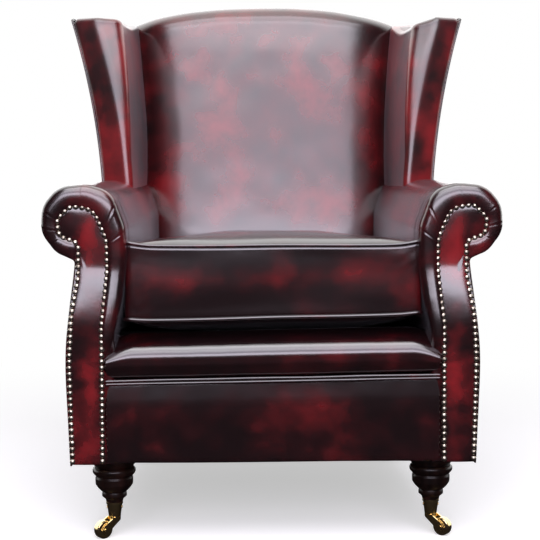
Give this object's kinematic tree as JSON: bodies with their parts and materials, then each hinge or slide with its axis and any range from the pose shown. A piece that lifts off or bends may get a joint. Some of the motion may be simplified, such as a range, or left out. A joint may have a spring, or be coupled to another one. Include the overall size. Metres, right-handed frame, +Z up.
{
  "type": "wingback chair",
  "caption": "Wingback armchair with scroll arms, flared wings, a loose box cushion, nailed leather arm facings and turned front legs on brass castors.",
  "frame": {"origin": "on the floor, below the middle of the chair's overall box", "axes": "+Z up, -Y towards the front of the chair, +X to the right as seen from the front"},
  "size_m": [0.8046, 0.7954, 1.001],
  "materials": {
    "leather_oxblood": "rub-off oxblood, glossy",
    "frame_beech": "sawn beech and ply",
    "leg_mahogany": "dark stained, polished",
    "castor_brass": "polished",
    "nail_brass": "antiqued domed heads",
    "spring_steel": "drawn wire",
    "cushion_foam": "foam with fibre wrap",
    "dust_cloth": "black lining cloth",
    "back_webbing_cloth": "woven webbing",
    "zip_tape": "zip fastener on tape"
  },
  "bodies": {
    "chair": {"arm_board_left": "frame_beech", "arm_board_right": "frame_beech", "arm_facing_left": "leather_oxblood", "arm_facing_right": "leather_oxblood", "arm_pad_left": "leather_oxblood", "arm_pad_right": "leather_oxblood", "arm_rail_left": "frame_beech", "arm_rail_right": "frame_beech", "back_post_left": "frame_beech", "back_post_right": "frame_beech", "back_webbing": "back_webbing_cloth", "castor_cup_left": "castor_brass", "castor_cup_right": "castor_brass", "corner_blocks": "frame_beech", "cup_screws": "castor_brass", "dust_cover": "dust_cloth", "front_border": "leather_oxblood", "front_leg_left": "leg_mahogany", "front_leg_right": "leg_mahogany", "front_lip": "leather_oxblood", "front_piping": "leather_oxblood", "front_post_left": "frame_beech", "front_post_right": "frame_beech", "front_seat_rail": "frame_beech", "inside_back": "leather_oxblood", "leg_bolts": "spring_steel", "lower_back_rail": "frame_beech", "nail_trim_left": "nail_brass", "nail_trim_right": "nail_brass", "outside_arm_left": "leather_oxblood", "outside_arm_right": "leather_oxblood", "outside_back": "leather_oxblood", "outside_wing_left": "leather_oxblood", "outside_wing_right": "leather_oxblood", "rear_leg_left": "leg_mahogany", "rear_leg_right": "leg_mahogany", "rear_seat_rail": "frame_beech", "seat_platform": "leather_oxblood", "seat_springs": "spring_steel", "side_seat_rail_left": "frame_beech", "side_seat_rail_right": "frame_beech", "spring_clips": "spring_steel", "top_back_rail": "frame_beech", "wing_board_left": "frame_beech", "wing_board_right": "frame_beech", "wing_pad_left": "leather_oxblood", "wing_pad_right": "leather_oxblood"},
    "cushion": {"cushion_core": "cushion_foam", "cushion_cover": "leather_oxblood", "cushion_piping": "leather_oxblood", "cushion_zip": "zip_tape"},
    "castor_swivel_left": {"castor_horn_left": "castor_brass", "castor_axle_left": "castor_brass"},
    "castor_roller_left": {"castor_wheel_left": "castor_brass"},
    "castor_swivel_right": {"castor_horn_right": "castor_brass", "castor_axle_right": "castor_brass"},
    "castor_roller_right": {"castor_wheel_right": "castor_brass"}
  },
  "joints": [
    {"name": "cushion_lift", "type": "slide", "parent": "chair", "child": "cushion", "axis": [0, 0, 1], "range_m": [0, 0.66]},
    {"name": "castor_swivel_left", "type": "hinge", "parent": "chair", "child": "castor_swivel_left", "pos_m": [-0.284, -0.34, 0.0357], "axis": [0, 0, 1], "continuous": true},
    {"name": "castor_roll_left", "type": "hinge", "parent": "castor_swivel_left", "child": "castor_roller_left", "pos_m": [-0.30331, -0.35508, 0.016], "axis": [-0.6157, 0.788, 0], "continuous": true},
    {"name": "castor_swivel_right", "type": "hinge", "parent": "chair", "child": "castor_swivel_right", "pos_m": [0.284, -0.34, 0.0357], "axis": [0, 0, 1], "continuous": true},
    {"name": "castor_roll_right", "type": "hinge", "parent": "castor_swivel_right", "child": "castor_roller_right", "pos_m": [0.30331, -0.35508, 0.016], "axis": [0.6157, 0.788, 0], "continuous": true}
  ]
}
